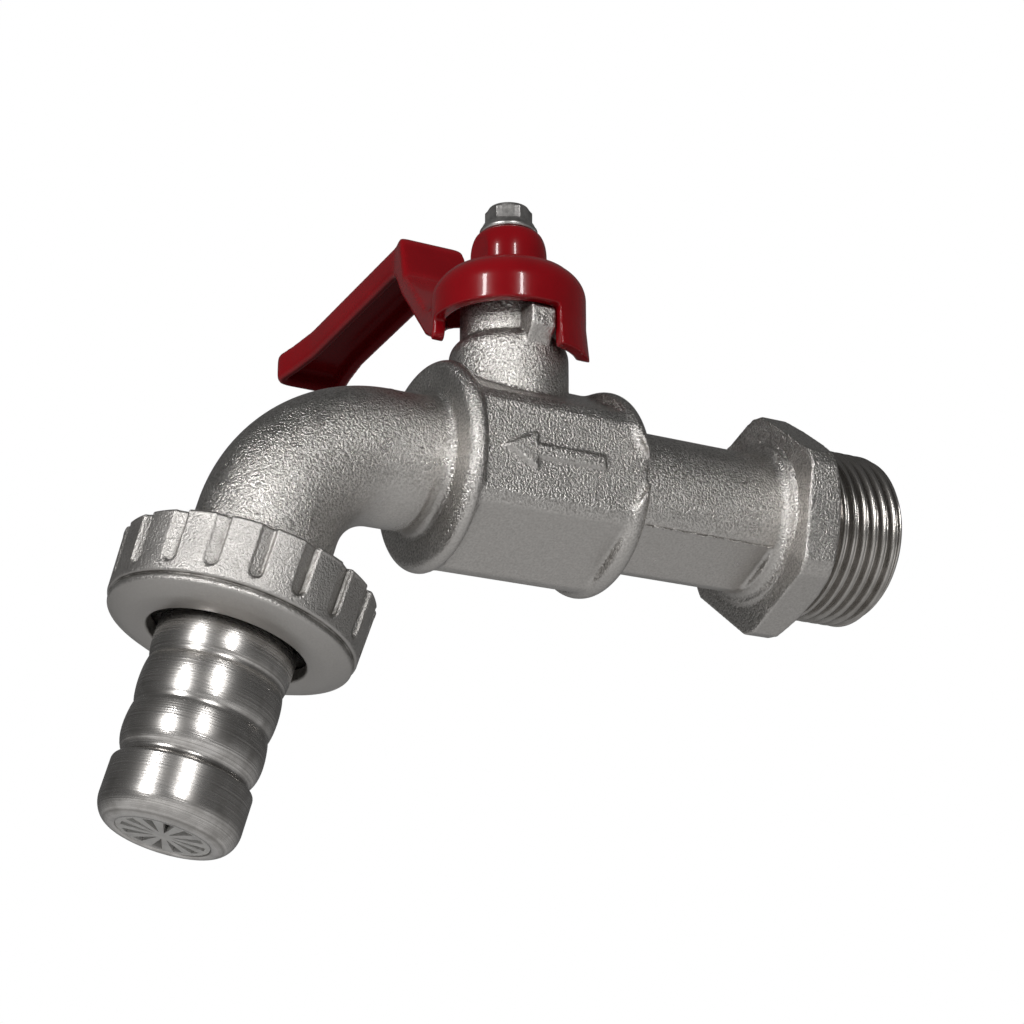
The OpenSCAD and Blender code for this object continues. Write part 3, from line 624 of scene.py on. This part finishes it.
# Brings the spout's two legs and bend, and the tower's bands, to their round sections
def true_body(points):
    left = points[:, 0] < BALL.x - SPOUT_START
    straight = left & (points[:, 0] > CORNER.x + BEND_SET)
    points = snap_cylinder(points, straight, BALL, (1, 0, 0), SPOUT_R)
    along = (points - np.array(CORNER)) @ np.array(OUTLET_AXIS)
    leg = left & (along > BEND_SET)
    points = snap_cylinder(points, leg, CORNER, OUTLET_AXIS, SPOUT_R)
    bent = left & ~straight & ~leg
    points = np.where(bent[:, None], true_bend(points), points)
    for radius, low, high in TOWER_BANDS:
        height = points[:, 2] - BALL.z
        band = (height > low) & (height < high) & ~left
        points = snap_cylinder(points, band, BALL, (0, 0, 1), radius)
    return points


# The ring at the chamber's inlet end flows into the pipe
def chamber_end_weight(points):
    x = points[:, 0] - BALL.x
    height = points[:, 2] - BALL.z
    rise = np.clip((x - CHAMBER_END[0]) / CHAMBER_FADE[0], 0, 1)
    fall = np.clip((CHAMBER_END[1] - x) / CHAMBER_FADE[1], 0, 1)
    return rise * fall * (height < CHAMBER_TOP)


def make_body(material, thread_material):
    thread_start = OUTLET_END - OUTLET_THREAD_LENGTH
    cut = CORNER + OUTLET_AXIS * (thread_start + 0.2 * MM)
    body = cast_copy("tap_forging", "body", FORGED_VOXEL, FORGED_ROUNDS, true_body,
                     (chamber_end_weight, CHAMBER_END_ROUNDS), (cut, OUTLET_AXIS))
    finish_piece(body, "tap_body", "forging", material, "body")
    thread = screw_thread("outlet_screw_thread", CORNER + OUTLET_AXIS * thread_start, OUTLET_AXIS,
                          OUTLET_THREAD_LENGTH, relief=0.2 * MM)
    finish_piece(thread, "tap_body", "forging", thread_material, "body")


# Brings the inlet pipe to its round section
def true_connector(points):
    pipe = (points[:, 0] < PIPE_END) & (points[:, 0] > BALL.x + PIPE_START)
    return snap_cylinder(points, pipe, BALL, (1, 0, 0), PIPE_R)


def make_inlet(material, thread_material):
    forging = cast_copy("inlet_forging", "inlet_connector", FORGED_VOXEL, FORGED_ROUNDS,
                        true_connector, keep=(Vector((0.1 * MM, 0, 0)), Vector((1, 0, 0))))
    finish_piece(forging, "tap_body", "connector_forging", material, "inlet_connector")
    thread = screw_thread("inlet_screw_thread", Vector(), (1, 0, 0), INLET_THREAD_LENGTH,
                          relief=0.3 * MM)
    finish_piece(thread, "tap_body", "connector_forging", thread_material, "inlet_connector")


# Flash: the thin, wavering ridge that the dies leave along the pipe, above its lower facet
def make_flash(material):
    turn = math.radians(FLASH_TURN)
    out = Vector((0, -math.cos(turn), -math.sin(turn)))
    across = Vector((0, math.sin(turn), -math.cos(turn)))
    start = BALL.x + FLASH_START
    points = []
    for i in range(FLASH_ROWS + 1):
        x = start + (FLASH_END - start) * i / FLASH_ROWS
        sway = (0.08 * math.sin(i * 0.9) + 0.05 * math.sin(i * 2.3)) * MM
        height = FLASH_HEIGHT + 0.06 * MM * math.sin(i * 1.7)
        centre = Vector((x, BALL.y, BALL.z)) + across * sway
        for side, lift in ((-0.22 * MM, FLASH_ROOT), (-0.07 * MM, height),
                           (0.07 * MM, height), (0.22 * MM, FLASH_ROOT)):
            points.append(centre + out * (PIPE_R + lift) + across * side)
    faces = [(0, 1, 2, 3), tuple(FLASH_ROWS * 4 + k for k in range(4))]
    for i in range(FLASH_ROWS):
        here, there = i * 4, (i + 1) * 4
        faces += [(here + k, here + (k + 1) % 4, there + (k + 1) % 4, there + k) for k in range(4)]
    flash = object_from("pipe_flash", points, faces)
    finish_piece(flash, "tap_body", "connector_forging", material, "inlet_connector")


# Radius of the skirt and dome at a height
def dome_radius(height):
    share = np.clip((height - DOME_SPRING) / (DOME_TOP - DOME_SPRING), 0, 1)
    return DOME_FLAT_R + (SKIRT_R - DOME_FLAT_R) * np.sqrt(1 - share ** 2)


# Brings the skirt and dome to their round sections
def true_lever(points):
    offset = points - np.array(BALL)
    height = offset[:, 2]
    distance = np.hypot(offset[:, 0], offset[:, 1])
    trued = snap_round(points, BALL, (0, 0, 1), dome_radius, DOME_REACH)
    skirt = (offset[:, 1] < SKIRT_BACK) & (height > SKIRT_BAND[0]) & (height < SKIRT_BAND[1])
    points = np.where(skirt[:, None], trued, points)
    # The casting's own hub draws in, to lie inside make_hub's
    share = np.clip((height - DOME_TOP) / MM, 0, 1) * (distance < CASTING_HUB_R)
    slim = 1 - CASTING_HUB_DRAW * share
    scale = np.stack([slim, slim, np.ones(len(slim))], 1)
    return np.array(BALL) + (points - np.array(BALL)) * scale


# The arm's edges are rounder than the dome's
def arm_weight(points):
    return np.clip((points[:, 1] - BALL.y - ARM_START) / ARM_FADE, 0, 1)


def make_lever(material):
    lever = cast_copy("lever_casting", "lever", LEVER_VOXEL, LEVER_ROUNDS, true_lever,
                      (arm_weight, ARM_ROUNDS))
    finish_piece(lever, "handle", "lever_paint", material, "lever")


# Hub on the dome: a cap over the stem's head, with two side flats and a well rounded top
def make_hub(material):
    foot_r = HUB_R + 0.5 * MM
    profile = [(DOME_TOP - MM, HUB_INNER_R), (DOME_TOP - MM, foot_r), (DOME_TOP - 0.3 * MM, foot_r)]
    profile += arc(DOME_TOP + 0.4 * MM, HUB_R + 0.6 * MM, 0.6 * MM, 0.6 * MM, 200, 270, 5)
    profile += [(DOME_TOP + MM, HUB_R), (DOME_TOP + 2 * MM, HUB_R)]
    profile += arc(HUB_TOP - 3.6 * MM, HUB_R - 1.5 * MM, 3.6 * MM, 1.5 * MM, 90, 0, 12)
    profile += [(HUB_TOP, HUB_DIMPLE_R), (HUB_TOP - HUB_DIMPLE, HUB_DIMPLE_R),
                (HUB_TOP - HUB_DIMPLE, HUB_INNER_R)]

    def sided(s, r, turn):
        flat = HUB_FLAT / max(abs(math.cos(turn)), 0.01)
        foot = max(0.0, DOME_TOP + 0.6 * MM - s)
        return min(r, max(flat, HUB_INNER_R) + foot) if r > HUB_INNER_R else r

    hub = lathe("lever_hub", profile, BALL, (0, 0, 1), 200, sided)
    finish_piece(hub, "handle", "lever_paint", material, "lever")


# Flanged hexagon screw: the head dips in the middle, as pressed heads do
def make_screw(material, segments=120):
    low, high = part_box("lever_screw")
    flange_r = (high.x - low.x) / 2
    base = high.z - SCREW_HEAD
    top = SCREW_HEAD
    corner = SCREW_HALF_FLATS / math.cos(math.pi / 6)
    profile = [(-SCREW_SHANK, 0.0), (-SCREW_SHANK, 2 * MM), (0, 2 * MM), (0, flange_r - 0.3 * MM)]
    profile += arc(0.45 * MM, flange_r - 0.45 * MM, 0.45 * MM, 0.45 * MM, 200, 30, 6)[2:]
    profile += [(1.5 * MM, corner + 0.25 * MM), (1.75 * MM, corner + 0.05 * MM),
                (top - 0.7 * MM, corner), (top - 0.15 * MM, SCREW_HALF_FLATS - 0.1 * MM),
                (top, SCREW_HALF_FLATS - 0.5 * MM), (top - 0.05 * MM, 1.9 * MM),
                (top - 0.35 * MM, 1.2 * MM), (top - 0.4 * MM, 0.0)]
    points = []
    for i in range(segments):
        turn = 2 * math.pi * i / segments
        flat = SCREW_HALF_FLATS / math.cos((turn + math.pi / 6) % (math.pi / 3) - math.pi / 6)
        for s, r in profile:
            if s > 1.7 * MM:
                r = min(r, flat)
            points.append((BALL.x + r * math.cos(turn), BALL.y + r * math.sin(turn), base + s))
    n = len(profile)
    faces = []
    for i in range(segments):
        j = (i + 1) % segments
        faces += [(i * n + k, j * n + k, j * n + k + 1, i * n + k + 1) for k in range(n - 1)]
    screw = object_from("flanged_screw", points, faces)
    finish_piece(screw, "handle", "screw_steel", material, "lever_screw")
    bevel = screw.modifiers.new("bevel", "BEVEL")
    bevel.width = 0.09 * MM
    bevel.segments = 2
    bevel.limit_method = "ANGLE"
    bevel.angle_limit = math.radians(28)
    weighted = screw.modifiers.new("weighted", "WEIGHTED_NORMAL")
    weighted.keep_sharp = True


# A flute in the nut's grip: open at the start, round at its end and deeper on one side
def flute(s, r, turn, start):
    if r < GRIP_R - 0.3 * MM or s > start + FLUTE_LENGTH:
        return r
    pitch = 2 * math.pi / NUT_SLOTS
    across = ((turn / pitch + FLUTE_PHASE) % 1 - 0.5) * pitch * GRIP_R
    half = FLUTE_WIDTH / 2
    end = max(0.0, s - (start + FLUTE_LENGTH - half))
    edge = 1 - math.hypot(across, end) / half
    if edge <= 0:
        return r
    lean = 1 - FLUTE_LEAN * (0.5 + across / FLUTE_WIDTH)
    return r - FLUTE_DEPTH * min(1.0, edge * FLUTE_WALL) * lean


# Union nut: turned inside, with flutes round its grip, and a seam over its conical lip
def make_nut(material):
    start, end = span("union_nut", CORNER, OUTLET_AXIS)
    bore = THREAD_R + 0.1 * MM
    grip_end = start + GRIP_LENGTH
    rows = 30
    profile = [(start, bore), (start, GRIP_R - 0.1 * MM)]
    profile += arc(start + 0.5 * MM, GRIP_R - 0.1 * MM, 0.5 * MM, 0.5 * MM, 170, 90, 4)
    profile += [(start + 0.6 * MM + (grip_end - start - 0.9 * MM) * i / rows,
                 GRIP_R + 0.35 * MM * (1 - i / rows)) for i in range(rows + 1)]
    profile += arc(grip_end - 0.1 * MM, GRIP_R - 0.4 * MM, 0.5 * MM, 0.4 * MM, 80, 0, 5)
    profile += [(grip_end + 0.42 * MM, GRIP_R - 0.6 * MM), (grip_end + 0.55 * MM, GRIP_R - 0.58 * MM)]
    profile += arc(grip_end + 1.1 * MM, GRIP_R - 0.95 * MM, 0.6 * MM, 0.6 * MM, 110, 30, 6)
    profile += [(end - 0.25 * MM, GRIP_R - 2.6 * MM), (end, GRIP_R - 3.6 * MM)]
    profile += arc(end - 0.4 * MM, NUT_HOLE_R + 0.4 * MM, 0.4 * MM, 0.4 * MM, 0, -90, 4)
    profile += [(end - NUT_FLOOR, NUT_HOLE_R), (end - NUT_FLOOR, bore)]
    nut = lathe("grip_nut", profile, CORNER, OUTLET_AXIS, NUT_SLOTS * FLUTE_STEPS,
                lambda s, r, turn: flute(s, r, turn, start))
    finish_piece(nut, "nut", "nut_metal", material, "union_nut")


# One swelling of the tail, between two grooves of the radii before and after
def swelling(start, end, before, after, steps=14):
    points = []
    for i in range(steps + 1):
        u = i / steps
        base = before + (after - before) * u
        crest = (CREST_R - base) * math.sin(math.pi * u) ** SWELLING_POWER
        points.append((start + (end - start) * u, base + crest))
    return points


# Hose tail: flange, three swellings that meet in narrow grooves, and the last barb
def make_tail(material):
    start, end = span("hose_tail", CORNER, OUTLET_AXIS)
    shank = start + FLANGE_HEIGHT
    grooves = [shank + GROOVE_PITCH * i for i in range(4)]
    profile = [(start, TAIL_BORE_R), (start, FLANGE_R - 0.2 * MM), (start + 0.2 * MM, FLANGE_R),
               (shank - 0.2 * MM, FLANGE_R), (shank, FLANGE_R - 0.2 * MM)]
    profile += swelling(grooves[0], grooves[1], GROOVE_R + 0.4 * MM, GROOVE_R)
    profile += swelling(grooves[1], grooves[2], GROOVE_R, GROOVE_R)
    profile += swelling(grooves[2], grooves[3], GROOVE_R, DEEP_GROOVE_R)
    profile += [(grooves[3] + 0.8 * MM, DEEP_GROOVE_R)]
    profile += arc(grooves[3] + 1.7 * MM, CREST_R - 0.5 * MM, 0.6 * MM, 0.5 * MM, 160, 90, 5)
    profile += arc(end - NOSE_LENGTH, CREST_R - NOSE_DROP, NOSE_LENGTH, NOSE_DROP, 90, 0, 20)
    profile += [(end, MOUTH_R + 0.15 * MM), (end - 0.15 * MM, MOUTH_R),
                (end - MOUTH_DEPTH, MOUTH_R), (end - MOUTH_DEPTH, TAIL_BORE_R)]
    tail = lathe("barbed_tail", profile, CORNER, OUTLET_AXIS, 192)
    finish_piece(tail, "tail", "tail_metal", material, "hose_tail")


# Background: white to the camera, and weaker as a light
def make_world():
    world = bpy.data.worlds.new("studio")
    bpy.context.scene.world = world
    world.use_nodes = True
    nodes = world.node_tree.nodes
    links = world.node_tree.links
    background = nodes["Background"]
    background.inputs["Color"].default_value = (1, 1, 1, 1)
    path = nodes.new("ShaderNodeLightPath")
    sky = split_xyz(nodes, links, nodes.new("ShaderNodeTexCoord").outputs["Generated"])
    # Reflections see the pale surroundings dimmed, and darker overhead than below
    reflected = ramp(nodes, links, sky["Z"], -0.4, 0.1, REFLECTED_BELOW, REFLECTED_ABOVE)
    glossy = mix(nodes, links, "FLOAT", path.outputs["Is Glossy Ray"], AMBIENT, reflected)
    clear = combine(nodes, links, "MAXIMUM", path.outputs["Is Camera Ray"],
                    path.outputs["Is Transmission Ray"])
    shown = mix(nodes, links, "FLOAT", clear, glossy, 1.0)
    links.new(shown, background.inputs["Strength"])


# Pale floor, far under the tap
def make_floor():
    height = BALL.z - FLOOR_DROP
    corners = [(x * FLOOR_HALF, y * FLOOR_HALF, height)
               for x, y in ((-1, -1), (1, -1), (1, 1), (-1, 1))]
    floor = object_from("floor", corners, [(0, 1, 2, 3)])
    material, nodes, links, shader = new_material("pale_floor")
    coords = object_coords(nodes)
    cloud = noise(nodes, links, coords, 40 * MM)
    links.new(mix(nodes, links, "RGBA", cloud, (0.86, 0.86, 0.86, 1), (0.9, 0.9, 0.9, 1)),
              shader.inputs["Base Color"])
    shader.inputs["Roughness"].default_value = 0.85
    # The camera sees it white far out, and with more of its shading near the object
    length = nodes.new("ShaderNodeVectorMath")
    length.operation = "LENGTH"
    links.new(coords, length.inputs[0])
    far = ramp(nodes, links, length.outputs["Value"], *FLOOR_FADE, *FLOOR_GLOW)
    shown = combine(nodes, links, "MULTIPLY", far,
                    nodes.new("ShaderNodeLightPath").outputs["Is Camera Ray"])
    glow = nodes.new("ShaderNodeEmission")
    blend = nodes.new("ShaderNodeMixShader")
    links.new(shown, blend.inputs["Fac"])
    links.new(shader.outputs["BSDF"], blend.inputs[1])
    links.new(glow.outputs["Emission"], blend.inputs[2])
    links.new(blend.outputs["Shader"], nodes["Material Output"].inputs["Surface"])
    floor.data.materials.append(material)


# A direction given as the photograph's camera sees it
def photo_direction(right, up, back):
    upward = PHOTO_RIGHT.cross(PHOTO_FORWARD)
    return PHOTO_RIGHT * right + upward * up - PHOTO_FORWARD * back


# A lamp that faces the ball from a direction and a distance
def area_light(name, direction, distance, width, height, power):
    data = bpy.data.lights.new(name, "AREA")
    data.shape = "RECTANGLE"
    data.size = width
    data.size_y = height
    data.energy = power
    lamp = bpy.data.objects.new(name, data)
    bpy.context.scene.collection.objects.link(lamp)
    direction = direction.normalized()
    lamp.location = BALL + direction * distance
    lamp.rotation_mode = "QUATERNION"
    lamp.rotation_quaternion = direction.to_track_quat("Z", "Y")


# Two upright strips above the camera, left and right of it, and a soft fill from below
def make_lights():
    area_light("strip_left", photo_direction(-0.546, 0.534, 0.646),
               distance=0.9, width=0.08, height=0.36, power=4.4)
    area_light("strip_right", photo_direction(0.316, 0.571, 0.758),
               distance=0.9, width=0.06, height=0.36, power=3.2)
    area_light("low_fill", photo_direction(-0.3, -0.8, 0.5),
               distance=1.0, width=0.5, height=0.5, power=1.5)


def make_pieces():
    forging = forging_material(
        "plated_forging", dark=(0.3, 0.284, 0.265), light=(0.78, 0.753, 0.724),
        roughness=0.29, grain_mm=0.34, grain=1.0, smooth_share=0.3)
    machined = turned_material(
        "machined_thread", dark=(0.32, 0.303, 0.282), light=(0.5, 0.478, 0.455),
        roughness=0.24, origin=Vector(), axis=(1, 0, 0), ring_mm=0.05, depth=0.15)
    make_body(forging, machined)
    make_inlet(forging, machined)
    make_flash(forging)
    paint = paint_material("red_coating")
    make_lever(paint)
    make_hub(paint)
    make_screw(moulded_material(
        "dull_steel", dark=(0.36, 0.35, 0.335), light=(0.7, 0.68, 0.66),
        roughness=0.36, metallic=1.0))
    make_nut(forging_material(
        "nut_plating", dark=(0.4, 0.383, 0.363), light=(0.53, 0.512, 0.492),
        roughness=0.4, grain_mm=0.3, grain=0.7, smooth_share=0.3))
    make_tail(turned_material(
        "satin_tail", dark=(0.32, 0.306, 0.289), light=(0.66, 0.638, 0.615),
        roughness=0.27, origin=OUTLET_POINT, axis=OUTLET_AXIS, ring_mm=0.26, depth=0.16))


def dress_plain_nodes():
    for name, (dark, light, roughness, metallic, nodes) in PLAIN_LOOKS.items():
        material = moulded_material(name, dark, light, roughness, metallic)
        for node in nodes:
            mesh = frame["nodes"][node].data
            mesh.materials.clear()
            mesh.materials.append(material)


make_camera()
make_world()
make_floor()
make_lights()
make_pieces()
dress_plain_nodes()

bpy.context.scene.view_settings.view_transform = "Standard"
bpy.context.view_layer.update()
